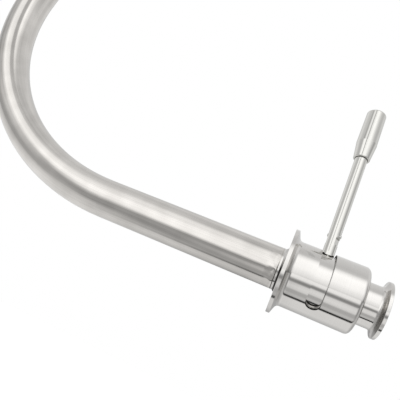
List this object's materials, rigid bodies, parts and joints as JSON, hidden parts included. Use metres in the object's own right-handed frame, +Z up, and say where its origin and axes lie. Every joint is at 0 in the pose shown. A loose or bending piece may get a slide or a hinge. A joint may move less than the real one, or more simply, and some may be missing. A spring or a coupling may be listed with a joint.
{
  "type": "racking arm",
  "caption": "Bent stainless draw-off tube that turns by a lever in a sealed slotted housing, between a large tank clamp ferrule and a small outlet clamp ferrule.",
  "frame": {"origin": "centre of the flat face of the tank-side clamp ferrule, on the valve axis", "axes": "+X along the valve axis from the tank face toward the outlet; +Z up, the way the lever and the bend of the tube point at rest; the tube leaves the tank face toward -X"},
  "size_m": [0.505, 0.0774, 0.3148],
  "materials": {
    "polished_steel": "polished stainless steel",
    "tube_steel": "fine ground and polished stainless tube",
    "weld": "cleaned weld bead",
    "seal_rubber": "black food-grade rubber",
    "ptfe": "white PTFE"
  },
  "bodies": {
    "valve_housing": {"housing": "polished_steel", "outlet_ferrule": "polished_steel", "neck_weld": "weld"},
    "arm": {"rotor": "polished_steel", "racking_tube": "tube_steel", "tube_seam": "weld", "oring_tank_outer": "seal_rubber", "oring_tank_inner": "seal_rubber", "oring_outlet_inner": "seal_rubber", "oring_outlet_outer": "seal_rubber", "guide_ring_tank": "ptfe", "guide_ring_outlet": "ptfe", "thrust_ring": "ptfe", "lever_seal": "seal_rubber", "lever_stud": "polished_steel", "lever_rod": "polished_steel", "cross_pin": "polished_steel", "lever_grip": "polished_steel"}
  },
  "joints": [
    {"name": "arm_swing", "type": "hinge", "parent": "valve_housing", "child": "arm", "pos_m": [0.0332, 0, 0], "axis": [1, 0, 0], "range_deg": [-42, 138.5]}
  ]
}
